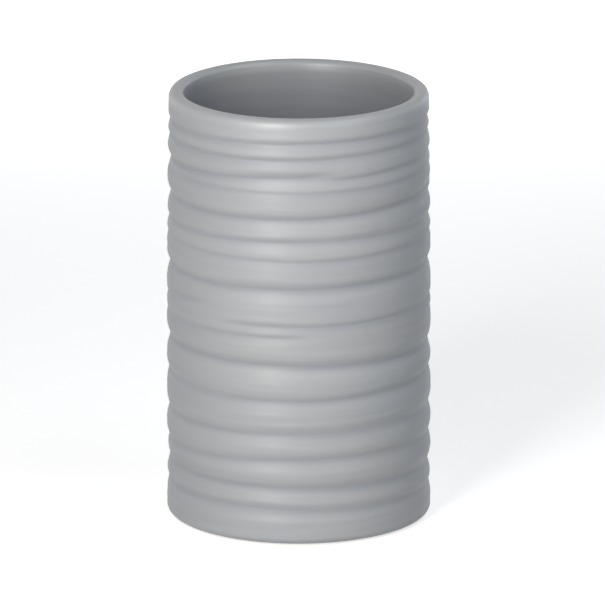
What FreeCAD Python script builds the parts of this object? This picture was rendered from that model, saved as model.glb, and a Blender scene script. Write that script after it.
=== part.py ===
"""Bathroom tumbler: a ribbed ceramic beaker on four bonded silicone feet.

The origin is the middle of the standing plane, +Z points up out of the mouth and -Y is the front.
Lengths are millimetres and angles degrees, counted from the front, positive to the right.
"""
import FreeCAD, Part

import math
import os
from enum import IntEnum

import Sketcher
from FreeCAD import Rotation, Vector

# Driving dimensions
SIZES = {
    "body_height": 115.0,
    "body_diameter": 70.0,
    "rim_draw_in": 0.7,
    "wall_thickness": 4.2,
    "lip_land": 0.2,
    "mouth_flare": 0.4,
    "mouth_flare_depth": 2.6,
    "mouth_blend_radius": 8.0,
    "base_edge_radius": 1.8,
    "floor_thickness": 5.0,
    "floor_corner_radius": 6.0,
    "foot_ring_width": 3.6,
    "recess_depth": 1.4,
    "recess_edge_radius": 0.5,
    "stand_off": 0.6,
    "foot_diameter": 8.0,
    "foot_taper": 0.7,
    "foot_edge_radius": 0.5,
    "foot_wall_gap": 2.0,
    "foot_turn": 45.0,
    "adhesive_thickness": 0.15,
    "adhesive_inset": 0.3,
    "groove_slope": 0.45,
    "groove_foot_softness": 2.0,
    "groove_lip_softness": 0.8,
    "groove_foot_upper_share": 1.0,
    "groove_lip_upper_share": 0.55,
    "groove_upper_softness": 0.4,
    "groove_fade": 22.0,
}

# Throwing grooves that run all round: heights of the bottom above the base at the left, the front and
# the right, then the depth
RING_GROOVES = {
    "lip": (107.7, 108.3, 108.5, 0.60),
    "neck": (103.6, 104.0, 104.9, 0.56),
    "shoulder": (81.5, 81.9, 82.1, 0.60),
    "under_shoulder": (77.3, 76.7, 77.7, 0.34),
    "chest": (68.9, 69.1, 69.7, 0.85),
    "waist": (49.1, 48.2, 47.8, 0.90),
    "under_waist": (39.9, 38.8, 40.4, 0.65),
    "hip": (29.6, 29.8, 30.6, 0.65),
    "under_hip": (21.1, 22.7, 22.6, 0.60),
    "skirt": (15.9, 15.0, 14.6, 0.80),
    "hem": (9.8, 9.1, 8.6, 0.50),
}

# Grooves that die out: the same four sizes, then the angles where they start and end
ARC_GROOVES = {
    "upper_fork": (97.3, 99.4, 100.8, 0.95, -178.0, 24.0),
    "lower_fork": (98.0, 98.2, 99.6, 0.50, 2.0, 205.0),
    "hairline": (95.4, 95.1, 95.9, 0.30, -75.0, 175.0),
    "collar": (88.2, 87.9, 90.1, 1.00, -190.0, 97.0),
    "under_collar": (87.5, 87.2, 87.8, 0.50, 56.0, 195.0),
    "belly": (60.0, 59.0, 60.1, 0.40, -42.0, 190.0),
    "upper_belly": (60.5, 66.0, 60.3, 0.35, -200.0, -38.0),
    "under_belly": (56.2, 56.2, 56.7, 0.38, 68.0, 372.0),
}

GROOVE_COLUMNS = ("left", "front", "right", "depth", "start", "end")

# The feet and the angles that they stand at
FEET = {
    "front_left": "-Sizes.foot_turn",
    "front_right": "Sizes.foot_turn",
    "back_right": "180 - Sizes.foot_turn",
    "back_left": "180 + Sizes.foot_turn",
}

# Spacing of the skin's control points
POLES_ROUND = 60
POLE_STEP = 0.6
EDGE_POLES = 8
DEGREE = 3

# How near an edge has to be to count as the one meant
FUZZ = 1e-4

# Sizes worked out from the driving ones, as expressions
BODY_RADIUS = "(Sizes.body_diameter / 2)"
LIP_RADIUS = "((Sizes.wall_thickness - Sizes.lip_land) / 2)"
INNER_LIP_RADIUS = f"({LIP_RADIUS} - Sizes.mouth_flare)"
CAVITY_RADIUS = f"({BODY_RADIUS} - Sizes.rim_draw_in - Sizes.wall_thickness)"
MOUTH_RADIUS = f"({CAVITY_RADIUS} + Sizes.mouth_flare)"
FLARE_FOOT = "(Sizes.body_height - Sizes.mouth_flare_depth)"
RECESS_RADIUS = f"({BODY_RADIUS} - Sizes.base_edge_radius - Sizes.foot_ring_width)"
FOOT_RADIUS = "(Sizes.foot_diameter / 2)"
FOOT_TIP_RADIUS = f"({FOOT_RADIUS} - Sizes.foot_taper)"
FOOT_HEIGHT = "(Sizes.stand_off + Sizes.recess_depth - Sizes.adhesive_thickness)"
FOOT_CIRCLE = f"({RECESS_RADIUS} - Sizes.foot_wall_gap - {FOOT_RADIUS})"

doc = FreeCAD.newDocument("BathroomTumbler")


class SketchAxis(IntEnum):
    """A sketch's own axes, by the numbers that constraints know them by."""

    LEVEL = -1
    UPRIGHT = -2


def all_sizes():
    """Every driving dimension by its alias, the grooves' included."""
    sizes = dict(SIZES)
    for name, values in {**RING_GROOVES, **ARC_GROOVES}.items():
        for column, value in zip(GROOVE_COLUMNS, values):
            sizes[f"{name}_groove_{column}"] = value
    return sizes


def make_sheet():
    """Spreadsheet with one named cell for each driving dimension."""
    sheet = doc.addObject("Spreadsheet::Sheet", "Sizes")
    for row, (alias, value) in enumerate(all_sizes().items(), start=1):
        sheet.set(f"A{row}", alias)
        sheet.set(f"B{row}", str(value))
        sheet.setAlias(f"B{row}", alias)
    doc.recompute()
    return sheet


sheet = make_sheet()


def size(alias):
    """Value of a driving dimension."""
    return float(sheet.get(alias))


def worked_out(expression):
    """Value of an expression over the driving dimensions."""
    return float(sheet.evalExpression(expression))


def smooth_step(share):
    """Rise from 0 to 1 with level ends."""
    share = min(max(share, 0.0), 1.0)
    return share * share * (3.0 - 2.0 * share)


class ThrowingGroove:
    """One groove of the ribbed outside, as a depth over the angle and the height."""

    def __init__(self, name, is_ring):
        self.left, self.front, self.right, self.depth = (
            size(f"{name}_groove_{column}") for column in GROOVE_COLUMNS[:4]
        )
        self.is_ring = is_ring
        if not is_ring:
            self.start = size(f"{name}_groove_start")
            self.end = size(f"{name}_groove_end")
        self.reach = 2.0 * self.depth / size("groove_slope")
        self.softness = self.by_level("softness")
        self.upper_share = self.by_level("upper_share")

    def by_level(self, word):
        """Value of a size that runs straight from a groove at the foot to one at the lip."""
        foot, lip = size(f"groove_foot_{word}"), size(f"groove_lip_{word}")
        return foot + (lip - foot) * self.front / size("body_height")

    def bottom(self, angle):
        """Height of the groove's bottom: as set at the left, front and right, midway at the back."""
        turn = math.radians(angle)
        sides = (self.left + self.right) / 2.0
        rise = (self.right - self.left) / 2.0
        bow = (self.front - sides) * math.cos(turn) * (1.0 + math.cos(turn)) / 2.0
        return sides + rise * math.sin(turn) + bow

    def strength(self, angle):
        """Share of the full depth at an angle: 1 within the groove's run, fading to 0 at its ends."""
        if self.is_ring:
            return 1.0
        along = (angle - self.start) % 360.0
        run = self.end - self.start
        fade = size("groove_fade")
        return smooth_step(along / fade) * smooth_step((run - along) / fade)

    def cut(self, angle, height):
        """Depth taken off the wall: a long lower and a shorter upper flank that meet in a soft bottom."""
        above = height - self.bottom(angle)
        softness, reach = self.softness, self.reach
        if above > 0.0:
            softness *= size("groove_upper_softness")
            reach *= self.upper_share
        away = math.hypot(above, softness) - softness
        return self.strength(angle) * self.depth * max(0.0, 1.0 - away / reach) ** 2


class RibbedSkin:
    """Outside of the ceramic, from the foot ring round the base edge, up the ribs and over the lip."""

    def __init__(self):
        self.height = size("body_height")
        self.radius = worked_out(BODY_RADIUS)
        self.draw_in = size("rim_draw_in")
        self.base_edge = size("base_edge_radius")
        self.lip = worked_out(LIP_RADIUS)
        rings = [ThrowingGroove(name, True) for name in RING_GROOVES]
        arcs = [ThrowingGroove(name, False) for name in ARC_GROOVES]
        self.grooves = rings + arcs

    def wall_radius(self, angle, height):
        """Radius of the wall: it draws in to the rim by the cube of the height, less the grooves."""
        draw_in = self.draw_in * (height / self.height) ** 3
        cuts = sum(groove.cut(angle, height) for groove in self.grooves)
        return self.radius - draw_in - cuts

    def edge_rows(self, edge_radius):
        """Quarter round of an edge as (inset, height) pairs, from its flat face to the wall."""
        step = math.pi / 2.0 / EDGE_POLES
        tangent_row = (edge_radius * (1.0 - step / DEGREE), 0.0)
        rows = [(edge_radius, 0.0), tangent_row]
        for number in range(1, EDGE_POLES + 1):
            turn = number * step
            rows.append((edge_radius * (1.0 - math.sin(turn)), edge_radius * (1.0 - math.cos(turn))))
        return rows

    def rows(self):
        """Rows of control points as (inset from the wall, height on the wall, height) from base to lip."""
        wall_foot = self.base_edge
        wall_top = self.height - self.lip
        count = round((wall_top - wall_foot) / POLE_STEP)
        base = [(inset, wall_foot, up) for inset, up in self.edge_rows(self.base_edge)]
        heights = [wall_foot + (wall_top - wall_foot) * number / count for number in range(1, count)]
        wall = [(0.0, height, height) for height in heights]
        lip = [(inset, wall_top, self.height - down) for inset, down in self.edge_rows(self.lip)]
        return base + wall + lip[::-1]

    def poles(self):
        """Grid of control points, one list for each angle."""
        turn_step = 360.0 / POLES_ROUND
        swell = DEGREE / (2.0 + math.cos(math.radians(turn_step)))
        rows = self.rows()
        grid = []
        for number in range(POLES_ROUND):
            angle = number * turn_step
            outward = Rotation(Vector(0, 0, 1), angle).multVec(Vector(0, -1, 0))
            column = []
            for inset, wall_height, height in rows:
                radius = (self.wall_radius(angle, wall_height) - inset) * swell
                column.append(outward * radius + Vector(0, 0, height))
            grid.append(column)
        return grid

    def solid(self):
        """Solid inside the skin, closed by a flat foot and a flat top."""
        poles = self.poles()
        row_count = len(poles[0])
        spans = row_count - DEGREE
        surface = Part.BSplineSurface()
        surface.buildFromPolesMultsKnots(
            poles,
            [1] * (POLES_ROUND + 1),
            [DEGREE + 1] + [1] * (spans - 1) + [DEGREE + 1],
            list(range(POLES_ROUND + 1)),
            list(range(spans + 1)),
            True,
            False,
            DEGREE,
            DEGREE,
        )
        skin = surface.toShape()
        rims = [edge for edge in skin.Edges if edge.isClosed()]
        caps = [Part.Face(Part.Wire(rim)) for rim in rims]
        shell = Part.makeShell([skin] + caps)
        shell.sewShape()
        return Part.makeSolid(shell)


def new_body(label):
    """Empty body under its own name."""
    body = doc.addObject("PartDesign::Body", label)
    body.Label = label
    return body


def new_sketch(body, name, role):
    """Sketch on one of a body's origin planes."""
    sketch = body.newObject("Sketcher::SketchObject", name)
    plane = next(item for item in body.Origin.OriginFeatures if item.Role == role)
    sketch.AttachmentSupport = [(plane, "")]
    sketch.MapMode = "FlatFace"
    return sketch


def pin_corner(sketch, line, axis_name, expression):
    """Hold one coordinate of a line's start at an expression, or on the axis where it is 0."""
    if expression == "0":
        axis = {"x": SketchAxis.UPRIGHT, "y": SketchAxis.LEVEL}[axis_name]
        sketch.addConstraint(Sketcher.Constraint("PointOnObject", line, 1, axis))
        return
    kind = {"x": "DistanceX", "y": "DistanceY"}[axis_name]
    value = worked_out(expression)
    index = sketch.addConstraint(Sketcher.Constraint(kind, -1, 1, line, 1, value))
    name = f"corner_{line}_{axis_name}"
    sketch.renameConstraint(index, name)
    sketch.setExpression(f"Constraints.{name}", expression)


def half_section(body, name, corners):
    """Sketch of a closed half section beside the body's upright axis.

    Each corner is a pair of expressions, its distance from the axis and its height.
    """
    sketch = new_sketch(body, name, "XZ_Plane")
    count = len(corners)
    points = [Vector(worked_out(distance), worked_out(height)) for distance, height in corners]
    for number, point in enumerate(points):
        sketch.addGeometry(Part.LineSegment(point, points[(number + 1) % count]))
    for number in range(count):
        sketch.addConstraint(Sketcher.Constraint("Coincident", number, 2, (number + 1) % count, 1))
    for number, (distance, height) in enumerate(corners):
        pin_corner(sketch, number, "x", distance)
        pin_corner(sketch, number, "y", height)
    return sketch


def turned(body, kind, sketch):
    """Revolution or groove of a half section, all the way round."""
    feature = body.newObject(f"PartDesign::{kind}", f"{sketch.Name}_{kind.lower()}")
    feature.Profile = sketch
    feature.ReferenceAxis = (sketch, ["V_Axis"])
    feature.Angle = 360.0
    doc.recompute()
    return feature


def must_cut(before, after):
    """Stop if a cut took nothing away."""
    if after.Shape.Volume >= before.Shape.Volume:
        raise RuntimeError(f"{after.Label} cuts nothing")


def round_edges(body, base, name, radius, circle_radius, heights):
    """Fillet on a feature's circular edges of one radius at the given heights."""
    edges = []
    for number, edge in enumerate(base.Shape.Edges, start=1):
        if not isinstance(edge.Curve, Part.Circle) or abs(edge.Curve.Radius - circle_radius) > FUZZ:
            continue
        if any(abs(edge.Curve.Center.z - height) < FUZZ for height in heights):
            edges.append(f"Edge{number}")
    fillet = body.newObject("PartDesign::Fillet", name)
    fillet.Base = (base, edges)
    fillet.setExpression("Radius", radius)
    doc.recompute()
    return fillet


def make_tumbler_body():
    """Ceramic beaker: the ribbed blank, hollowed, with an eased lip and a recessed underside."""
    blank = doc.addObject("Part::Feature", "ribbed_blank")
    blank.Shape = RibbedSkin().solid()
    body = new_body("tumbler_body")
    body.BaseFeature = blank
    doc.recompute()

    above_lip = f"({FLARE_FOOT} + 2 * Sizes.mouth_flare_depth)"
    above_mouth_radius = f"({CAVITY_RADIUS} + 2 * Sizes.mouth_flare)"
    floor = "Sizes.floor_thickness"
    corners = [
        ("0", floor),
        (CAVITY_RADIUS, floor),
        (CAVITY_RADIUS, FLARE_FOOT),
        (above_mouth_radius, above_lip),
        ("0", above_lip),
    ]
    cavity = turned(body, "Groove", half_section(body, "cavity", corners))
    must_cut(blank, cavity)
    cavity_radius = worked_out(CAVITY_RADIUS)
    mouth_radius = worked_out(MOUTH_RADIUS)
    inner_lip = round_edges(body, cavity, "inner_lip", INNER_LIP_RADIUS, mouth_radius, [size("body_height")])
    mouth_blend = round_edges(
        body, inner_lip, "mouth_blend", "Sizes.mouth_blend_radius", cavity_radius, [worked_out(FLARE_FOOT)]
    )
    floor_corner = round_edges(
        body, mouth_blend, "floor_corner", "Sizes.floor_corner_radius", cavity_radius, [worked_out(floor)]
    )

    outline = new_sketch(body, "underside", "XY_Plane")
    recess_radius = worked_out(RECESS_RADIUS)
    outline.addGeometry(Part.Circle(Vector(0, 0, 0), Vector(0, 0, 1), recess_radius))
    outline.addConstraint(Sketcher.Constraint("Coincident", 0, 3, -1, 1))
    outline.addConstraint(Sketcher.Constraint("Radius", 0, recess_radius))
    outline.renameConstraint(1, "recess_radius")
    outline.setExpression("Constraints.recess_radius", RECESS_RADIUS)
    recess = body.newObject("PartDesign::Pocket", "recess")
    recess.Profile = outline
    recess.Reversed = True
    recess.setExpression("Length", "Sizes.recess_depth")
    doc.recompute()
    must_cut(floor_corner, recess)
    recess_heights = [0.0, size("recess_depth")]
    round_edges(body, recess, "recess_edges", "Sizes.recess_edge_radius", recess_radius, recess_heights)

    body.setExpression("Placement.Base.z", "Sizes.stand_off")
    return body


def seat(piece, angle, height):
    """Put a piece on the circle of the feet."""
    piece.setExpression("Placement.Base.x", f"{FOOT_CIRCLE} * sin({angle})")
    piece.setExpression("Placement.Base.y", f"-{FOOT_CIRCLE} * cos({angle})")
    piece.setExpression("Placement.Base.z", height)


def make_foot(place, angle):
    """Silicone bumper: a short plug that tapers to a rounded tip on the standing plane."""
    body = new_body(f"{place}_foot")
    corners = [
        ("0", "0"),
        (FOOT_TIP_RADIUS, "0"),
        (FOOT_RADIUS, FOOT_HEIGHT),
        ("0", FOOT_HEIGHT),
    ]
    plug = turned(body, "Revolution", half_section(body, f"{place}_plug", corners))
    tip_radius = worked_out(FOOT_TIP_RADIUS)
    round_edges(body, plug, f"{place}_tip", "Sizes.foot_edge_radius", tip_radius, [0.0])
    seat(body, angle, "0")
    return body


def make_adhesive(place, angle):
    """Adhesive disc between a bumper and the underside of the ceramic."""
    disc = doc.addObject("Part::Cylinder", f"{place}_adhesive")
    disc.Label = f"{place}_adhesive"
    disc.setExpression("Radius", f"{FOOT_RADIUS} - Sizes.adhesive_inset")
    disc.setExpression("Height", "Sizes.adhesive_thickness")
    seat(disc, angle, FOOT_HEIGHT)
    return disc


def check(pieces):
    """Stop if any object failed or any piece isn't one valid solid."""
    for item in doc.Objects:
        if {"Invalid", "Error"} & set(item.State):
            raise RuntimeError(f"{item.Label} failed")
    for piece in pieces:
        shape = piece.Shape
        if shape.isNull() or not shape.isValid() or len(shape.Solids) != 1:
            raise RuntimeError(f"{piece.Label} isn't one valid solid")


def main():
    """Build, check and write every piece."""
    pieces = [make_tumbler_body()]
    for place, angle in FEET.items():
        pieces.append(make_foot(place, angle))
        pieces.append(make_adhesive(place, angle))
    doc.recompute()
    check(pieces)
    os.makedirs("parts", exist_ok=True)
    for piece in pieces:
        piece.Shape.exportStep(f"parts/{piece.Label}.step")
        box = piece.Shape.BoundBox
        print(f"{piece.Label}: {piece.Shape.Volume:.1f} mm3, z {box.ZMin:.2f} to {box.ZMax:.2f}")


main()
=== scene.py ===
"""Bathroom tumbler: the looks of a ribbed ceramic beaker, dressed over its solids.

The frame is the solids' own: metres, origin in the middle of the standing plane, +Z up out of the mouth
and -Y towards the front. Angles round the beaker count from the front, positive to the right. Sizes are
written in millimetres and become metres where a mesh is made.
"""

import logging
import math
from dataclasses import dataclass, field
from enum import Enum
from typing import Any

import bpy
import numpy as np
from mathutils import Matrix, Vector


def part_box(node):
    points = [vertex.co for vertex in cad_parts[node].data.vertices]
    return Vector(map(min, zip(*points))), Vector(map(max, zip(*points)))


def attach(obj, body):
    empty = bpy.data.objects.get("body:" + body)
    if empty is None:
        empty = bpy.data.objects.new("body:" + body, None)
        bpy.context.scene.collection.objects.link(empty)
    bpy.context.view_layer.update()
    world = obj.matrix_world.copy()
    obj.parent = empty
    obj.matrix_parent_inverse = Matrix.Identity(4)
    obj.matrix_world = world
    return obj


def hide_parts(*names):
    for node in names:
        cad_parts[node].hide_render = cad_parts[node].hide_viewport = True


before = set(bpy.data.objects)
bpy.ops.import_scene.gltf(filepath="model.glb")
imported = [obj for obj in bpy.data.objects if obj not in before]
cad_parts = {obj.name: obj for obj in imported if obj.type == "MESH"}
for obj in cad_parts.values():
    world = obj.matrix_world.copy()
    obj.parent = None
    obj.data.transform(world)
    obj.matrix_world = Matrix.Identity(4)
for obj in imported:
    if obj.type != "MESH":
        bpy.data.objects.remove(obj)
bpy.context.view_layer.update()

log = logging.getLogger("tumbler")

Colour = tuple[float, float, float, float]

MM = 0.001
FULL_TURN = 360.0
WHITE: Colour = (1.0, 1.0, 1.0, 1.0)


class Mark(Enum):
    """Values that a mesh carries at its points for a finish to read."""

    # Darkening of the glaze: pooled glaze and painted shade in the grooves, painted shade deep inside.
    POOLING_AND_SHADE = "pooled_glaze_and_painted_shade"
    BARE = "bare_clay"
    SMOOTH = "smooth_glaze"


class Slot(Enum):
    """The record's material slots."""

    CERAMIC = "glazed_ceramic"
    SILICONE = "clear_silicone"
    ADHESIVE = "adhesive"


class Place(Enum):
    """Corners of the underside where a foot stands, as signs of x and y."""

    FRONT_LEFT = (-1, -1)
    FRONT_RIGHT = (1, -1)
    BACK_RIGHT = (1, 1)
    BACK_LEFT = (-1, 1)

    @property
    def word(self) -> str:
        """Name of the corner as the nodes have it."""
        return self.name.lower()


def smooth_step(share: np.ndarray) -> np.ndarray:
    """Rise from 0 to 1 with level ends: three times the square less twice the cube."""
    share = np.clip(share, 0.0, 1.0)
    return share * share * (3.0 - 2.0 * share)


def lifted_sine(phase: np.ndarray) -> np.ndarray:
    """Sine of a phase in radians, halved and lifted to run from 0 to 1."""
    return 0.5 + 0.5 * np.sin(phase)


def arc(centre: tuple[float, float], radius: float, start: float, end: float, count: int) -> np.ndarray:
    """Points of a round stretch of a profile.

    Each point is the centre plus the radius times the cosine and the sine of an angle that goes evenly
    from start to end. The first point is left out, because the stretch before it ends there.

    Args:
        centre: Distance from the axis and height of the arc's centre.
        radius: Radius of the arc.
        start: Angle of its first point in degrees, 0 pointing outwards and 90 up.
        end: Angle of its last point.
        count: Number of points.

    Returns:
        Array of count rows of distance and height.
    """
    turn = np.radians(np.linspace(start, end, count + 1)[1:])
    return np.stack([centre[0] + radius * np.cos(turn), centre[1] + radius * np.sin(turn)], axis=1)


def line(start: tuple[float, float], end: tuple[float, float], count: int) -> np.ndarray:
    """Points of a straight stretch of a profile, evenly spaced, without the first.

    Args:
        start: Distance from the axis and height where the stretch begins.
        end: Distance and height where it ends.
        count: Number of points.

    Returns:
        Array of count rows of distance and height.
    """
    share = np.linspace(0.0, 1.0, count + 1)[1:, None]
    return np.asarray(start) * (1.0 - share) + np.asarray(end) * share


@dataclass(frozen=True)
class TurnedSurface:
    """Closed surface carried round an upright axis, with a pole at each end of its profile.

    Attributes:
        radius: Distance from the axis in millimetres, one row for each step of the profile and one
            column for each angle. The first and the last row are 0, the poles.
        height: Height of each step in millimetres.
        centre: Where the axis stands, in millimetres.
    """

    radius: np.ndarray
    height: np.ndarray
    centre: tuple[float, float] = (0.0, 0.0)

    @property
    def angles(self) -> np.ndarray:
        """Angle of each column in radians, from the front to the right and round."""
        columns = self.radius.shape[1]
        return np.arange(columns) * (math.tau / columns)

    def points(self) -> np.ndarray:
        """Points in metres: radius times sine to the right and minus cosine to the back, then height.

        Returns:
            Array of points: the first pole, the rings one after another, and the last pole.
        """
        rings = self.radius[1:-1]
        east = self.centre[0] + rings * np.sin(self.angles)
        north = self.centre[1] - rings * np.cos(self.angles)
        up = np.broadcast_to(self.height[1:-1, None], rings.shape)
        grid = np.stack([east, north, up], axis=-1).reshape(-1, 3)
        first = [[*self.centre, self.height[0]]]
        last = [[*self.centre, self.height[-1]]]
        return np.concatenate([first, grid, last]) * MM

    def faces(self) -> list[list[int]]:
        """Quads between neighbouring rings, and fans of triangles that close the two poles.

        Returns:
            Point numbers of each face, in the order that turns it outwards.
        """
        rings, columns = self.radius.shape[0] - 2, self.radius.shape[1]
        here = 1 + np.arange(rings * columns).reshape(rings, columns)
        beside = np.roll(here, -1, axis=1)
        quads = np.stack([here[:-1], beside[:-1], beside[1:], here[1:]], axis=-1).reshape(-1, 4)
        first = np.zeros(columns, int)
        last = np.full(columns, 1 + rings * columns)
        fans = np.concatenate(
            [
                np.stack([first, beside[0], here[0]], axis=-1),
                np.stack([last, here[-1], beside[-1]], axis=-1),
            ]
        )
        return quads.tolist() + fans.tolist()

    def build(self, name: str, marks: dict[Mark, np.ndarray] | None = None) -> bpy.types.Object:
        """Mesh object of the surface, smooth, with its marks as point attributes.

        Args:
            name: Name of the piece.
            marks: Values for each point of the grid, poles included as whole rows.

        Returns:
            The new object, at the origin.
        """
        mesh = bpy.data.meshes.new(name)
        mesh.from_pydata(self.points(), [], self.faces())
        mesh.polygons.foreach_set("use_smooth", np.ones(len(mesh.polygons), bool))
        for mark, values in (marks or {}).items():
            flat = np.concatenate([values[0, :1], values[1:-1].ravel(), values[-1, :1]])
            attribute = mesh.attributes.new(mark.value, "FLOAT", "POINT")
            attribute.data.foreach_set("value", flat.astype(np.float32))
        mesh.validate()
        mesh.update()
        piece = bpy.data.objects.new(name, mesh)
        bpy.context.scene.collection.objects.link(piece)
        return piece


def plain_turn(profile: np.ndarray, columns: int) -> np.ndarray:
    """Radius grid of a profile that is the same at every angle."""
    return np.repeat(profile[:, :1], columns, axis=1)


class NodeBench:
    """A material's or a world's node tree, with short ways to add and join nodes."""

    def __init__(self, owner: bpy.types.Material | bpy.types.World) -> None:
        """Start from an empty tree.

        Args:
            owner: Material or world whose nodes are made.
        """
        owner.use_nodes = True
        self.tree = owner.node_tree
        self.tree.nodes.clear()

    def add(self, kind: str, settings: dict[str, Any] | None = None, **inputs: Any) -> bpy.types.Node:
        """New node, with its settings and inputs.

        Args:
            kind: Node type, without its ShaderNode prefix.
            settings: Properties of the node itself.
            inputs: Sockets by name, with underscores for spaces: a value, or another node's output.

        Returns:
            The node.
        """
        node = self.tree.nodes.new(f"ShaderNode{kind}")
        for name, value in (settings or {}).items():
            setattr(node, name, value)
        for name, value in inputs.items():
            self.plug(node, name.replace("_", " "), value)
        return node

    def plug(self, node: bpy.types.Node, socket: str | int, value: Any) -> None:
        """Set a socket to a value, or link another node's output to it.

        Args:
            node: Node that has the socket.
            socket: Name or number of the input.
            value: Plain value or output socket.
        """
        if isinstance(value, bpy.types.NodeSocket):
            self.tree.links.new(value, node.inputs[socket])
        else:
            node.inputs[socket].default_value = value

    def maths(self, operation: str, first: Any, second: Any = 0.0) -> bpy.types.NodeSocket:
        """Result of one sum.

        Args:
            operation: Name of the sum.
            first: First value, or another node's output.
            second: Second value or output.

        Returns:
            Output of the sum.
        """
        node = self.add("Math", {"operation": operation})
        self.plug(node, 0, first)
        self.plug(node, 1, second)
        return node.outputs[0]

    def blend(self, share: Any, first: Any, second: Any) -> bpy.types.NodeSocket:
        """Colour between two colours.

        Args:
            share: Value or output, 0 for the first colour and 1 for the second.
            first: Colour, or another node's output.
            second: Colour or output.

        Returns:
            Output with the colour.
        """
        node = self.add("Mix", {"data_type": "RGBA"})
        self.plug(node, "Factor", share)
        colours = [number for number, socket in enumerate(node.inputs) if socket.type == "RGBA"]
        for number, value in zip(colours, (first, second)):
            self.plug(node, number, value)
        return next(socket for socket in node.outputs if socket.type == "RGBA")

    def spread(
        self, value: Any, low: Any, high: Any, start: float = 0.0, end: float = 1.0
    ) -> bpy.types.NodeSocket:
        """Number that runs from low to high as the value runs from start to end.

        Args:
            value: Output that is spread.
            low: Value or output at the start.
            high: Value or output at the end.
            start: Where the run begins.
            end: Where it ends.

        Returns:
            Output with the number.
        """
        node = self.add("MapRange", From_Min=start, From_Max=end, To_Min=low, To_Max=high)
        self.plug(node, "Value", value)
        return node.outputs[0]

    def noise(
        self, scale: float, detail: float, squash: tuple[float, float, float] = (1, 1, 1)
    ) -> bpy.types.NodeSocket:
        """Noise on object coordinates, as its grey output.

        Args:
            scale: Waves to the metre.
            detail: How many finer layers are added.
            squash: Factors along x, y and z, under 1 for long streaks.

        Returns:
            Output between about 0 and 1.
        """
        coordinates = self.add("TexCoord").outputs["Object"]
        mapping = self.add("Mapping", Scale=squash, Vector=coordinates)
        node = self.add("TexNoise", Vector=mapping.outputs[0], Scale=scale, Detail=detail)
        return node.outputs[0]

    def mark(self, mark: Mark) -> bpy.types.NodeSocket:
        """A mesh's mark as a number."""
        return self.add("Attribute", {"attribute_name": mark.value}).outputs["Fac"]


def srgb(red: float, green: float, blue: float) -> Colour:
    """Linear colour of an sRGB one, given in 0 to 255 as it shows on a screen.

    Args:
        red: Red as shown.
        green: Green as shown.
        blue: Blue as shown.

    Returns:
        Linear red, green and blue, and an alpha of 1.
    """
    shown = np.array([red, green, blue]) / 255.0
    linear = np.where(shown <= 0.04045, shown / 12.92, ((shown + 0.055) / 1.055) ** 2.4)
    return (*(float(value) for value in linear), 1.0)


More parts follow.
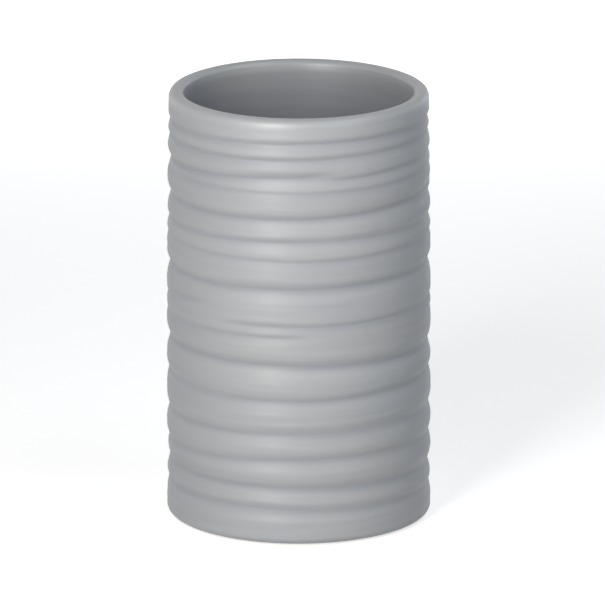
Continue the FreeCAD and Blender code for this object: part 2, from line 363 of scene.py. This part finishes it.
@dataclass(frozen=True)
class MattGlaze:
    """Satin grey glaze over the clay, thin and pale on the ribs, thicker in the grooves, darker there from
    pooled glaze and painted shade, and darker deep inside from painted shade.

    Attributes:
        crown: Colour where the glaze is thin.
        pool: Darker colour for glaze gathered in the grooves and for painted shade there and deep inside.
        warm: Colour of the warmer clouds in it.
        clay: Colour of the bare clay.
        clay_grit: Colour of the clay's darker grains.
        roughness: Least and most roughness of the ribbed glaze.
        clay_roughness: Roughness of the bare clay.
        ior: Refractive index of the glaze.
        smooth_roughness: Roughness where the glaze lies smooth.
        gloss: Specular level of the ribbed and of the smooth glaze.
        coat: Weight of the clear layer on top.
        coat_roughness: Roughness of that layer.
        cloud_scale: Waves to the metre of the clouds, as are the next three scales.
        streak_scale: Streaks that run along the ribs.
        streak_squash: Factors that draw the streaks out sideways.
        streak_tone: Least and most that a streak adds to the darkening from pooled glaze and painted shade.
        peel_scale: Fine ripple of the glaze's skin.
        grit_scale: Grains of the bare clay.
        noise_span: Part of the clouds' and streaks' noise that is spread over the full range.
        grit_span: The same for the grains.
        satin_span: The same for ripple and streaks together.
        peel_height: Relief of the ripple in millimetres.
        streak_height: Relief of the streaks in millimetres.
    """

    crown: Colour = srgb(166, 169, 173)
    # Darker colour: pooled glaze and painted shade in the grooves, painted shade deep inside.
    pool: Colour = srgb(152, 155, 161)
    warm: Colour = srgb(169, 171, 173)
    clay: Colour = srgb(206, 198, 184)
    clay_grit: Colour = srgb(182, 172, 156)
    roughness: tuple[float, float] = (0.54, 0.62)
    clay_roughness: float = 0.85
    ior: float = 1.6
    smooth_roughness: float = 0.45
    gloss: tuple[float, float] = (0.5, 0.75)
    coat: float = 0.15
    coat_roughness: float = 0.3
    cloud_scale: float = 38.0
    streak_scale: float = 420.0
    streak_squash: tuple[float, float, float] = (0.05, 0.05, 1.0)
    streak_tone: tuple[float, float] = (-0.1, 0.22)
    peel_scale: float = 1300.0
    grit_scale: float = 2600.0
    noise_span: tuple[float, float] = (0.35, 0.65)
    grit_span: tuple[float, float] = (0.4, 0.7)
    satin_span: tuple[float, float] = (0.7, 1.3)
    peel_height: float = 0.010
    streak_height: float = 0.012

    def material(self) -> bpy.types.Material:
        """Material: colour by glaze depth and clouding, roughness and bump by fine noise.

        Returns:
            The material, which reads the three marks.
        """
        made = bpy.data.materials.new("matt_grey_glaze")
        bench = NodeBench(made)
        cloud = bench.noise(self.cloud_scale, detail=3.0)
        streak = bench.noise(self.streak_scale, detail=2.0, squash=self.streak_squash)
        peel = bench.noise(self.peel_scale, detail=2.0)
        grit = bench.noise(self.grit_scale, detail=3.0)
        bare = bench.mark(Mark.BARE)
        tint = bench.blend(bench.spread(cloud, 0.0, 1.0, *self.noise_span), self.crown, self.warm)
        unevenness = bench.spread(streak, *self.streak_tone, *self.noise_span)
        # Glaze darkened by the mark: pooled glaze and painted shade in the grooves, painted shade deep
        # inside.
        glaze = bench.blend(bench.maths("ADD", bench.mark(Mark.POOLING_AND_SHADE), unevenness), tint, self.pool)
        clay = bench.blend(bench.spread(grit, 0.0, 1.0, *self.grit_span), self.clay, self.clay_grit)
        satin = bench.spread(bench.maths("ADD", peel, streak), *self.roughness, *self.satin_span)
        smooth = bench.mark(Mark.SMOOTH)
        glazed = bench.spread(smooth, satin, self.smooth_roughness)
        peel_relief = bench.maths("MULTIPLY", peel, self.peel_height)
        streak_relief = bench.maths("MULTIPLY", streak, self.streak_height)
        relief = bench.maths("ADD", peel_relief, streak_relief)
        bump = bench.add("Bump", Strength=1.0, Distance=MM, Height=relief)
        shader = bench.add(
            "BsdfPrincipled",
            Base_Color=bench.blend(bare, glaze, clay),
            Roughness=bench.spread(bare, glazed, self.clay_roughness),
            IOR=self.ior,
            Specular_IOR_Level=bench.spread(smooth, *self.gloss),
            Coat_Weight=self.coat,
            Coat_Roughness=self.coat_roughness,
            Normal=bump.outputs[0],
        )
        bench.add("OutputMaterial", Surface=shader.outputs[0])
        return made


@dataclass(frozen=True)
class ClearSilicone:
    """Soft translucent silicone with a faint haze.

    Attributes:
        body: Colour of the clear body.
        haze: Colour of its clouds.
        roughness: Least and most roughness.
        transmission: Share of the light that goes through.
        ior: Refractive index.
        haze_scale: Waves to the metre of the clouds.
        haze_span: Part of their noise that is spread over the full range.
    """

    body: Colour = srgb(226, 229, 228)
    haze: Colour = srgb(208, 212, 211)
    roughness: tuple[float, float] = (0.28, 0.42)
    transmission: float = 0.7
    ior: float = 1.41
    haze_scale: float = 420.0
    haze_span: tuple[float, float] = (0.3, 0.7)

    def material(self) -> bpy.types.Material:
        """Material: clear body with clouded colour and roughness.

        Returns:
            The material.
        """
        made = bpy.data.materials.new("clear_silicone")
        bench = NodeBench(made)
        haze = bench.noise(self.haze_scale, detail=3.0)
        shader = bench.add(
            "BsdfPrincipled",
            Base_Color=bench.blend(bench.spread(haze, 0.0, 1.0, *self.haze_span), self.body, self.haze),
            Roughness=bench.spread(haze, *self.roughness, *self.haze_span),
            IOR=self.ior,
            Transmission_Weight=self.transmission,
        )
        bench.add("OutputMaterial", Surface=shader.outputs[0])
        return made


@dataclass(frozen=True)
class AdhesiveFilm:
    """Thin acrylic adhesive, cream coloured, with small trapped bubbles.

    Attributes:
        film: Colour of the film.
        bubble: Colour of the bubbles.
        roughness: Roughness of the film.
        bubble_scale: Waves to the metre of the bubbles.
        bubble_span: Part of their noise that is spread over the full range.
    """

    film: Colour = srgb(228, 225, 214)
    bubble: Colour = srgb(206, 202, 190)
    roughness: float = 0.5
    bubble_scale: float = 1500.0
    bubble_span: tuple[float, float] = (0.4, 0.6)

    def material(self) -> bpy.types.Material:
        """Material: cream film with paler and darker cells.

        Returns:
            The material.
        """
        made = bpy.data.materials.new("acrylic_adhesive")
        bench = NodeBench(made)
        bubbles = bench.spread(bench.noise(self.bubble_scale, detail=1.0), 0.0, 1.0, *self.bubble_span)
        shader = bench.add(
            "BsdfPrincipled",
            Base_Color=bench.blend(bubbles, self.film, self.bubble),
            Roughness=self.roughness,
        )
        bench.add("OutputMaterial", Surface=shader.outputs[0])
        return made


@dataclass(frozen=True)
class ThrowingGroove:
    """One groove of the ribbed outside.

    Attributes:
        left: Height of its bottom at the left, in millimetres above the base.
        front: Height at the front.
        right: Height at the right.
        depth: Depth in millimetres.
        start: Angle in degrees where it begins to show, or none if it runs all round.
        end: Angle where it has died out.
    """

    left: float
    front: float
    right: float
    depth: float
    start: float | None = None
    end: float | None = None

    def bottom(self, angle: np.ndarray) -> np.ndarray:
        """Height of the bottom at an angle.

        The mean of left and right, plus half their difference times the sine, plus what the front differs
        from the mean times a bow that is 1 at the front and 0 at the sides and the back.

        Args:
            angle: Angles in degrees.

        Returns:
            Heights in millimetres.
        """
        turn = np.radians(angle)
        sides = (self.left + self.right) / 2.0
        rise = (self.right - self.left) / 2.0
        bow = np.cos(turn) * (1.0 + np.cos(turn)) / 2.0
        return sides + rise * np.sin(turn) + (self.front - sides) * bow

    def strength(self, angle: np.ndarray, fade: float) -> np.ndarray:
        """Share of the full depth at an angle: 1 along its run, easing to 0 at its ends.

        Args:
            angle: Angles in degrees.
            fade: Angle over which an end eases out.

        Returns:
            Shares from 0 to 1.
        """
        if self.start is None:
            return np.ones_like(angle)
        along = np.mod(angle - self.start, FULL_TURN)
        return smooth_step(along / fade) * smooth_step((self.end - self.start - along) / fade)

    def cut(self, angle: np.ndarray, height: np.ndarray, ribs: "RibShape") -> np.ndarray:
        """Depth taken off the wall: a long lower and a shorter upper flank that meet in a softened bottom.

        Away from the bottom the depth is the full one times the square of 1 less the distance over the
        flank's reach. The distance is the hypotenuse of the true one and the softness, less the softness.

        Args:
            angle: Angles in degrees.
            height: Heights in millimetres.
            ribs: Slope, softness and fade that all grooves share.

        Returns:
            Depths in millimetres.
        """
        above = height - self.bottom(angle)
        upper = above > 0.0
        softness = ribs.at_level(ribs.softness, self.front) * np.where(upper, ribs.upper_softness, 1.0)
        share = np.where(upper, ribs.at_level(ribs.upper_share, self.front), 1.0)
        away = np.hypot(above, softness) - softness
        reach = 2.0 * self.depth / ribs.slope * share
        flank = np.clip(1.0 - away / reach, 0.0, None)
        return self.strength(angle, ribs.fade) * self.depth * flank**2

    def pool(self, angle: np.ndarray, height: np.ndarray, ribs: "RibShape") -> np.ndarray:
        """Darkening along the bottom, partly gathered glaze and partly painted shade: a bell over the
        height, as strong as the root of the depth.

        Args:
            angle: Angles in degrees.
            height: Heights in millimetres.
            ribs: Reach and full depth that all grooves share.

        Returns:
            Shares from 0 to 1.
        """
        away = (height - self.bottom(angle)) / ribs.pool_and_shade_reach
        share = math.sqrt(self.depth / ribs.pool_and_shade_depth)
        return self.strength(angle, ribs.fade) * share * np.exp(-away * away)


@dataclass(frozen=True)
class RibShape:
    """What all grooves share, in millimetres and degrees.

    Attributes:
        slope: Slope of the lower flank at the bottom, before it is softened.
        span: Height of the lip, up to which the next two change.
        softness: How far the bottom is rounded below, for a groove at the foot and for one at the lip.
        upper_share: Reach of the upper flank as a share of the lower one's, at the foot and at the lip.
        upper_softness: Rounding above the bottom as a share of the one below.
        fade: Angle over which a groove's end eases out.
        pool_and_shade_reach: How far above and below the bottom the gathered glaze and painted shade reach.
        pool_and_shade_depth: Depth of a groove whose gathered glaze and painted shade darken in full.
    """

    slope: float = 0.45
    span: float = 115.0
    softness: tuple[float, float] = (2.0, 0.8)
    upper_share: tuple[float, float] = (1.0, 0.55)
    upper_softness: float = 0.4
    fade: float = 22.0
    pool_and_shade_reach: float = 1.1
    pool_and_shade_depth: float = 1.0

    def at_level(self, ends: tuple[float, float], level: float) -> float:
        """Value at a height, straight between its values at the foot and at the lip."""
        return ends[0] + (ends[1] - ends[0]) * level / self.span


# Grooves from the lip down to the foot
RIB_GROOVES = (
    ThrowingGroove(107.7, 108.3, 108.5, 0.60),
    ThrowingGroove(103.6, 104.0, 104.9, 0.56),
    ThrowingGroove(97.3, 99.4, 100.8, 0.95, -178.0, 24.0),
    ThrowingGroove(98.0, 98.2, 99.6, 0.50, 2.0, 205.0),
    ThrowingGroove(95.4, 95.1, 95.9, 0.30, -75.0, 175.0),
    ThrowingGroove(88.2, 87.9, 90.1, 1.00, -190.0, 97.0),
    ThrowingGroove(87.5, 87.2, 87.8, 0.50, 56.0, 195.0),
    ThrowingGroove(81.5, 81.9, 82.1, 0.60),
    ThrowingGroove(77.3, 76.7, 77.7, 0.34),
    ThrowingGroove(68.9, 69.1, 69.7, 0.85),
    ThrowingGroove(60.0, 59.0, 60.1, 0.33, -42.0, 190.0),
    ThrowingGroove(60.5, 66.0, 60.3, 0.26, -200.0, -38.0),
    ThrowingGroove(56.2, 56.2, 56.7, 0.28, 68.0, 372.0),
    ThrowingGroove(49.1, 48.2, 47.8, 0.90),
    ThrowingGroove(39.9, 38.8, 40.4, 0.65),
    ThrowingGroove(29.6, 29.8, 30.6, 0.65),
    ThrowingGroove(21.1, 22.7, 22.6, 0.60),
    ThrowingGroove(15.9, 15.0, 14.6, 0.80),
    ThrowingGroove(9.8, 9.1, 8.6, 0.50),
)


@dataclass(frozen=True)
class ThrowingLines:
    """Fine lines that the thrower's fingers leave all over the ribs.

    Attributes:
        waves: For each train of lines its spacing and height in millimetres, and how far it wanders.
        patch: Height in millimetres over which a train comes and goes.
        lag: Phase in radians by which each train's patches follow the last one's.
        sway: Phase in radians by which the patches wander round the beaker.
        sway_waves: How many times they do, on top of the train's number.
    """

    waves: tuple[tuple[float, float, float], ...] = ((1.7, 0.02, 2.0), (2.6, 0.045, 2.6), (3.7, 0.06, 3.4))
    patch: float = 13.0
    lag: float = 2.0
    sway: float = 1.5
    sway_waves: int = 2

    def cut(self, angle: np.ndarray, height: np.ndarray) -> np.ndarray:
        """Depth taken off the wall.

        Each train is a sine over the height whose phase wanders with the sine of the angle, times a
        slow sine that makes it come and go, both lifted so that nothing stands proud of the wall.

        Args:
            angle: Angles in degrees.
            height: Heights in millimetres.

        Returns:
            Depths in millimetres.
        """
        turn = np.radians(angle)
        total = np.zeros_like(height)
        for number, (spacing, deep, wander) in enumerate(self.waves, start=1):
            drift = wander * np.sin(turn + number)
            shift = self.lag * number + self.sway * np.sin((number + self.sway_waves) * turn)
            ripple = lifted_sine(math.tau * height / spacing + drift)
            patch = lifted_sine(math.tau * height / self.patch + shift)
            total += deep * ripple * patch
        return total


@dataclass(frozen=True)
class BeakerSteps:
    """How many columns the beaker has, and how many points each stretch of its profile."""

    columns: int = 180
    recess: int = 9
    recess_edge: int = 5
    recess_side: int = 2
    foot_ring: int = 5
    base_edge: int = 10
    wall: int = 430
    lip: int = 12
    land: int = 2
    inner_lip: int = 10
    flare: int = 4
    flare_blend: int = 8
    bore: int = 16
    floor_corner: int = 10
    floor: int = 9


@dataclass
class Beaker:
    """The ceramic beaker: ribbed outside, round lip, smooth inside and recessed underside, in millimetres.

    Attributes:
        diameter: Width over the ribs.
        rim_draw_in: How much smaller the outside's radius is at the rim.
        wall: Thickness of the wall behind the ribs at the rim.
        lip_land: Flat width that two equal rounds would leave on the lip, if the mouth had no flare.
        flare: How far the mouth opens beyond the inside's radius.
        flare_depth: How far below the lip the mouth begins to open.
        flare_blend: Radius of the round that eases the flare into the wall.
        base_edge: Radius of the edge round the base.
        floor: Thickness of the floor.
        floor_corner: Radius of the corner between floor and wall.
        foot_ring: Width of the ring under the base.
        recess: Depth of the recess inside that ring.
        recess_edge: Radius of the recess's two edges.
        ribs: Shape that all grooves share.
        lines: Fine lines over the ribs.
        grooves: Grooves of the outside.
        glaze: Finish.
        inside_painted_shade: Painted shade on the inside, darkest far below the lip.
        inside_painted_shade_depth: How far below the lip that is reached.
        steps: Columns, and points of the profile.
        node: Solid that the beaker stands for.
        foot_level: Height of the base above the standing plane.
        height: Height of the ceramic.
    """

    diameter: float = 70.0
    rim_draw_in: float = 0.7
    wall: float = 4.2
    lip_land: float = 0.2
    flare: float = 0.4
    flare_depth: float = 2.6
    flare_blend: float = 8.0
    base_edge: float = 1.8
    floor: float = 5.0
    floor_corner: float = 6.0
    foot_ring: float = 3.6
    recess: float = 1.4
    recess_edge: float = 0.5
    ribs: RibShape = RibShape()
    lines: ThrowingLines = ThrowingLines()
    grooves: tuple[ThrowingGroove, ...] = RIB_GROOVES
    glaze: MattGlaze = MattGlaze()
    inside_painted_shade: float = 1.0
    inside_painted_shade_depth: float = 16.0
    steps: BeakerSteps = BeakerSteps()
    node: str = "tumbler_body"
    foot_level: float = field(init=False)
    height: float = field(init=False)

    def __post_init__(self) -> None:
        """Take the standing height and the overall height from the solid's box."""
        low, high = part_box(self.node)
        self.foot_level = low.z / MM
        self.height = (high.z - low.z) / MM

    @property
    def lip(self) -> float:
        """Radius of the lip's outer round."""
        return (self.wall - self.lip_land) / 2.0

    @property
    def cavity(self) -> float:
        """Radius of the inside."""
        return self.diameter / 2.0 - self.rim_draw_in - self.wall

    @property
    def recess_radius(self) -> float:
        """Radius of the recess in the underside."""
        return self.diameter / 2.0 - self.base_edge - self.foot_ring

    def underside(self) -> np.ndarray:
        """Profile from the middle of the underside to the foot ring's outer edge.

        Returns:
            Rows of distance from the axis and height.
        """
        edge, reach, deep = self.recess_edge, self.recess_radius, self.recess
        steps = self.steps
        ring_end = self.diameter / 2.0 - self.base_edge
        return np.concatenate(
            [
                [[0.0, deep]],
                line((0.0, deep), (reach - edge, deep), steps.recess),
                arc((reach - edge, deep - edge), edge, 90.0, 0.0, steps.recess_edge),
                line((reach, deep - edge), (reach, edge), steps.recess_side),
                arc((reach + edge, edge), edge, 180.0, 270.0, steps.recess_edge),
                line((reach + edge, 0.0), (ring_end, 0.0), steps.foot_ring),
            ]
        )

    def outside(self) -> np.ndarray:
        """Profile of the outside before the grooves: base edge, wall and outer round of the lip.

        Returns:
            Rows of distance from the axis and height.
        """
        radius = self.diameter / 2.0
        edge = self.base_edge
        wall_top = self.height - self.lip
        return np.concatenate(
            [
                arc((radius - edge, edge), edge, -90.0, 0.0, self.steps.base_edge),
                line((radius, edge), (radius, wall_top), self.steps.wall),
                arc((radius - self.lip, wall_top), self.lip, 0.0, 90.0, self.steps.lip),
            ]
        )

    def inside(self) -> np.ndarray:
        """Profile of the inside: inner round of the lip, flared mouth, wall, floor corner and floor.

        The flare is a cone, tangent to the inner round above it and to a wide round that eases it into
        the wall below.

        Returns:
            Rows of distance from the axis and height.
        """
        steps = self.steps
        lean = math.atan2(self.flare, self.flare_depth)
        steep = 180.0 - math.degrees(lean)
        inner = self.lip - self.flare
        crest = self.cavity + self.flare + inner * math.tan(math.pi / 4.0 - lean / 2.0)
        wall_top = self.height - self.flare_depth - self.flare_blend * math.tan(lean / 2.0)
        inner_round = arc((crest, self.height - inner), inner, 90.0, steep, steps.inner_lip)
        blend_centre = (self.cavity + self.flare_blend, wall_top)
        blend = arc(blend_centre, self.flare_blend, steep, 180.0, steps.flare_blend)
        corner = self.floor_corner
        corner_centre = (self.cavity - corner, self.floor + corner)
        return np.concatenate(
            [
                line((self.cavity + self.wall - self.lip, self.height), (crest, self.height), steps.land),
                inner_round,
                line(tuple(inner_round[-1]), tuple(blend[0]), steps.flare),
                blend[1:],
                line((self.cavity, wall_top), (self.cavity, self.floor + corner), steps.bore),
                arc(corner_centre, corner, 0.0, -90.0, steps.floor_corner),
                line((self.cavity - corner, self.floor), (0.0, self.floor), steps.floor),
            ]
        )

    def surface(self) -> tuple[TurnedSurface, dict[Mark, np.ndarray]]:
        """Surface of the whole beaker, and what its finish reads.

        The outside's radius is its profile's, less a draw-in to the rim that grows with the cube of the
        height, less the sum of the grooves' cuts and the fine lines' at that angle and height. Inside,
        painted shade darkens the glaze more with the depth below the lip. Outside, the glaze turns smooth
        from two to one of the lip's radii below the top.

        Returns:
            The surface, and for each point how much the glaze darkens, from gathered glaze and painted
            shade in the grooves and from painted shade inside, whether the clay is bare and whether the
            glaze lies smooth, as on the lip and inside.
        """
        under, outside, inside = self.underside(), self.outside(), self.inside()
        profile = np.concatenate([under, outside, inside])
        radius = plain_turn(profile, self.steps.columns)
        rows = slice(len(under), len(under) + len(outside))
        angle = np.arange(self.steps.columns) * FULL_TURN / self.steps.columns
        on_wall = np.clip(outside[:, 1], self.base_edge, self.height - self.lip)[:, None]
        angles, heights = np.broadcast_arrays(angle[None, :], on_wall)
        draw_in = self.rim_draw_in * (heights / self.height) ** 3
        cuts = sum(groove.cut(angles, heights, self.ribs) for groove in self.grooves)
        radius[rows] -= draw_in + cuts + self.lines.cut(angles, heights)
        # Darkening along the grooves outside: gathered glaze and painted shade.
        pooling_and_shade = np.zeros_like(radius)
        groove_pools_and_shade = sum(groove.pool(angles, heights, self.ribs) for groove in self.grooves)
        pooling_and_shade[rows] = np.clip(groove_pools_and_shade, 0.0, 1.0)
        # Painted shade inside, darker with the depth below the lip.
        below_lip = (self.height - inside[:, 1]) / self.inside_painted_shade_depth
        pooling_and_shade[rows.stop :] = self.inside_painted_shade * smooth_step(below_lip)[:, None]
        bare = np.zeros_like(radius)
        bare[rows.start - self.steps.foot_ring : rows.start] = 1.0
        smooth = np.ones_like(radius)
        smooth[rows] = smooth_step((outside[:, 1] - self.height + 2.0 * self.lip) / self.lip)[:, None]
        made = TurnedSurface(radius, profile[:, 1] + self.foot_level)
        return made, {Mark.POOLING_AND_SHADE: pooling_and_shade, Mark.BARE: bare, Mark.SMOOTH: smooth}

    def build(self) -> bpy.types.Object:
        """Build the beaker, dress it and put it in the solid's place.

        Returns:
            The beaker.
        """
        surface, marks = self.surface()
        piece = surface.build("ribbed_beaker", marks)
        piece.data.materials.append(self.glaze.material())
        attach(piece, "root")
        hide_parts(self.node)
        return piece


@dataclass
class BumperFoot:
    """One silicone bumper and the adhesive disc over it, in millimetres.

    Attributes:
        place: Corner where it stands.
        silicone: Finish of the bumper.
        adhesive: Finish of the film.
        taper: How much narrower the bumper's tip is than its top, at each side.
        waist: Share of the bumper's height from which its straight side is laid out.
        tip_round: Radius of the tip's edge.
        top_round: Radius of the top's edge.
        film_round: Radius of the film's edges.
        columns: Columns of each piece.
        flat_steps: Points across a flat face or round the top's edge.
        tip_steps: Points round the tip's edge.
        side_steps: Points up the side.
        film_steps: Points of each stretch of the film, but for its side.
    """

    place: Place
    silicone: bpy.types.Material
    adhesive: bpy.types.Material
    taper: float = 0.7
    waist: float = 0.4
    tip_round: float = 0.5
    top_round: float = 0.12
    film_round: float = 0.04
    columns: int = 72
    flat_steps: int = 4
    tip_steps: int = 6
    side_steps: int = 3
    film_steps: int = 3

    def turned(self, node: str, profile: np.ndarray, name: str) -> bpy.types.Object:
        """Piece that stands for a node, turned about the node's own middle.

        Args:
            node: Name of the node that it replaces.
            profile: Rows of distance and height above the node's lowest point.
            name: Name of the piece.

        Returns:
            The piece, riding with the tumbler.
        """
        low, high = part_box(node)
        centre = (low + high) / 2.0 / MM
        height = profile[:, 1] + low.z / MM
        piece = TurnedSurface(plain_turn(profile, self.columns), height, (centre.x, centre.y)).build(name)
        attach(piece, "root")
        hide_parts(node)
        return piece

    def build_bumper(self) -> bpy.types.Object:
        """Bumper: flat tip, round edge, tapered side and flat top with a fine round.

        Returns:
            The bumper.
        """
        node = f"{self.place.word}_foot"
        low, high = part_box(node)
        reach = (high.x - low.x) / 2.0 / MM
        tall = (high.z - low.z) / MM
        tip = reach - self.taper
        lean = math.degrees(math.atan2(self.taper, tall))
        shift = self.tip_round * math.tan(math.radians((90.0 - lean) / 2.0))
        side_foot = (reach - self.taper * (1.0 - self.waist), tall * self.waist)
        edge = self.top_round
        profile = np.concatenate(
            [
                [[0.0, 0.0]],
                line((0.0, 0.0), (tip - shift, 0.0), self.flat_steps),
                arc((tip - shift, self.tip_round), self.tip_round, -90.0, -lean, self.tip_steps),
                line(side_foot, (reach, tall - edge), self.side_steps),
                arc((reach - edge, tall - edge), edge, 0.0, 90.0, self.flat_steps),
                line((reach - edge, tall), (0.0, tall), self.flat_steps),
            ]
        )
        piece = self.turned(node, profile, f"{self.place.word}_bumper")
        piece.data.materials.append(self.silicone)
        return piece

    def build_film(self) -> bpy.types.Object:
        """Adhesive film: a thin disc with a rounded rim.

        Returns:
            The film.
        """
        node = f"{self.place.word}_adhesive"
        low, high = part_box(node)
        reach = (high.x - low.x) / 2.0 / MM
        tall = (high.z - low.z) / MM
        edge = self.film_round
        profile = np.concatenate(
            [
                [[0.0, 0.0]],
                line((0.0, 0.0), (reach - edge, 0.0), self.film_steps),
                arc((reach - edge, edge), edge, -90.0, 0.0, self.film_steps),
                line((reach, edge), (reach, tall - edge), 1),
                arc((reach - edge, tall - edge), edge, 0.0, 90.0, self.film_steps),
                line((reach - edge, tall), (0.0, tall), self.film_steps),
            ]
        )
        piece = self.turned(node, profile, f"{self.place.word}_film")
        piece.data.materials.append(self.adhesive)
        return piece


@dataclass(frozen=True)
class SoftLamp:
    """A soft box that looks at the tumbler.

    Attributes:
        name: Name of the lamp.
        azimuth: Degrees round from the front, positive to the right.
        elevation: Degrees above the horizon.
        distance: Metres from the tumbler.
        width: Width of the box in metres.
        tall: Height of the box in metres.
        power: Watts.
        tint: Colour of the light.
        mirrored: Whether glossy surfaces mirror the box.
    """

    name: str
    azimuth: float
    elevation: float
    distance: float
    width: float
    tall: float
    power: float
    tint: tuple[float, float, float] = (1.0, 1.0, 1.0)
    mirrored: bool = True

    def build(self, target: Vector) -> bpy.types.Object:
        """Hang the lamp and aim it.

        Args:
            target: Point that it looks at.

        Returns:
            The lamp.
        """
        turn, rise = math.radians(self.azimuth), math.radians(self.elevation)
        level = math.cos(rise)
        away = Vector((math.sin(turn) * level, -math.cos(turn) * level, math.sin(rise)))
        data = bpy.data.lights.new(self.name, "AREA")
        data.shape = "RECTANGLE"
        data.size = self.width
        data.size_y = self.tall
        data.energy = self.power
        data.color = self.tint
        lamp = bpy.data.objects.new(self.name, data)
        lamp.location = target + away * self.distance
        lamp.rotation_euler = (-away).to_track_quat("-Z", "Y").to_euler()
        lamp.visible_camera = False
        lamp.visible_glossy = self.mirrored
        bpy.context.scene.collection.objects.link(lamp)
        return lamp


@dataclass
class Studio:
    """Plain pale floor, soft light and the camera of the photograph, in metres and degrees.

    Attributes:
        target: Point that the lamps look at.
        ambient: Strength of the even light from all round.
        room_tint: Colour of that light.
        floor_side: Side of the floor.
        floor_tone: Colour of the floor as the tumbler sees it.
        floor_glow: Light of its own that the floor shows where it is seen.
        floor_bounce: Light of its own that it throws on the tumbler.
        camera_place: Where the camera stands.
        camera_pitch: How far it looks up.
        camera_lens: Focal length in millimetres.
        camera_sensor: Width of the sensor in millimetres.
        camera_reach: Farthest distance that it sees.
        lamps: Soft boxes round the tumbler.
    """

    target: Vector = Vector((0.0, 0.0, 0.058))
    ambient: float = 0.02
    room_tint: Colour = (0.80, 0.86, 1.0, 1.0)
    floor_side: float = 4.0
    floor_tone: Colour = srgb(150, 150, 150)
    floor_glow: float = 0.6
    floor_bounce: float = 0.135
    camera_place: tuple[float, float, float] = (0.00098, -2.6, 0.7783)
    camera_pitch: float = -15.502
    camera_lens: float = 606.6
    camera_sensor: float = 36.0
    camera_reach: float = 100.0
    lamps: tuple[SoftLamp, ...] = (
        SoftLamp("key_box", -23.5, 18.5, 0.45, 0.14, 0.44, 1.78, (1.0, 0.98, 0.952)),
        SoftLamp("fill_box", 34.0, 14.0, 0.6, 0.3, 0.3, 0.50, (0.96, 0.98, 1.0)),
        SoftLamp("high_box", 62.0, 56.0, 0.6, 0.3, 0.3, 0.62, (0.9, 0.95, 1.0)),
        SoftLamp("side_box", 112.0, 25.0, 0.8, 0.4, 0.4, 0.15, (0.8, 0.9, 1.0)),
        SoftLamp("rear_right_box", 140.0, 10.0, 0.8, 0.4, 0.3, 0.42, (0.7, 0.85, 1.0)),
        SoftLamp("rear_left_box", 230.0, 10.0, 0.8, 0.4, 0.3, 0.34, (0.74, 0.86, 1.0)),
        SoftLamp("back_box", 180.0, 0.0, 0.7, 0.6, 0.1, 2.2, mirrored=False),
    )

    def seen_directly(self, bench: NodeBench) -> bpy.types.NodeSocket:
        """Share that is 1 for what the camera sees straight, in a reflection or through glass.

        Args:
            bench: Tree that the nodes go into.

        Returns:
            Output with the share.
        """
        path = bench.add("LightPath").outputs
        seen = bench.maths("MAXIMUM", path["Is Camera Ray"], path["Is Glossy Ray"])
        return bench.maths("MAXIMUM", seen, path["Is Transmission Ray"])

    def build_world(self) -> None:
        """Even light from all round, white where it is seen."""
        world = bpy.data.worlds.new("white_room")
        bpy.context.scene.world = world
        bench = NodeBench(world)
        seen = self.seen_directly(bench)
        strength = bench.spread(seen, self.ambient, 1.0)
        colour = bench.blend(seen, self.room_tint, WHITE)
        sky = bench.add("Background", Color=colour, Strength=strength)
        bench.add("OutputWorld", Surface=sky.outputs[0])

    def build_floor(self) -> bpy.types.Object:
        """Floor: a pale sheet that shows white where no shadow falls.

        Returns:
            The floor.
        """
        half = self.floor_side / 2.0
        corners = np.array([[-half, -half, 0.0], [half, -half, 0.0], [half, half, 0.0], [-half, half, 0.0]])
        mesh = bpy.data.meshes.new("floor")
        mesh.from_pydata(corners, [], [[0, 1, 2, 3]])
        floor = bpy.data.objects.new("floor", mesh)
        bpy.context.scene.collection.objects.link(floor)
        made = bpy.data.materials.new("pale_floor")
        bench = NodeBench(made)
        seen = self.seen_directly(bench)
        tone = bench.blend(seen, self.floor_tone, WHITE)
        matt = bench.add("BsdfDiffuse", Color=tone)
        glow = bench.add("Emission", Strength=bench.spread(seen, self.floor_bounce, self.floor_glow))
        both = bench.add("AddShader")
        bench.plug(both, 0, matt.outputs[0])
        bench.plug(both, 1, glow.outputs[0])
        bench.add("OutputMaterial", Surface=both.outputs[0])
        mesh.materials.append(made)
        return floor

    def build_camera(self) -> bpy.types.Object:
        """Camera at the photograph's place, with its long lens.

        Returns:
            The camera.
        """
        data = bpy.data.cameras.new("photograph")
        data.lens = self.camera_lens
        data.sensor_width = self.camera_sensor
        data.clip_end = self.camera_reach
        camera = bpy.data.objects.new("photograph", data)
        camera.location = self.camera_place
        camera.rotation_euler = (math.radians(90.0 + self.camera_pitch), 0.0, 0.0)
        bpy.context.scene.collection.objects.link(camera)
        bpy.context.scene.camera = camera
        return camera

    def build(self) -> None:
        """Set up the light, the floor and the camera."""
        self.build_world()
        self.build_floor()
        for lamp in self.lamps:
            lamp.build(self.target)
        self.build_camera()
        bpy.context.scene.view_settings.view_transform = "Standard"


def report(piece: bpy.types.Object) -> None:
    """Log a finished piece with the size of its mesh."""
    log.info("%s: %d points, %d faces", piece.name, len(piece.data.vertices), len(piece.data.polygons))


def main() -> None:
    """Build every piece in order, then the studio round it."""
    logging.basicConfig(level=logging.INFO, format="%(name)s: %(message)s")
    report(Beaker().build())
    silicone = ClearSilicone().material()
    adhesive = AdhesiveFilm().material()
    for place in Place:
        foot = BumperFoot(place, silicone, adhesive)
        report(foot.build_bumper())
        report(foot.build_film())
    Studio().build()


if __name__ == "__main__":
    main()
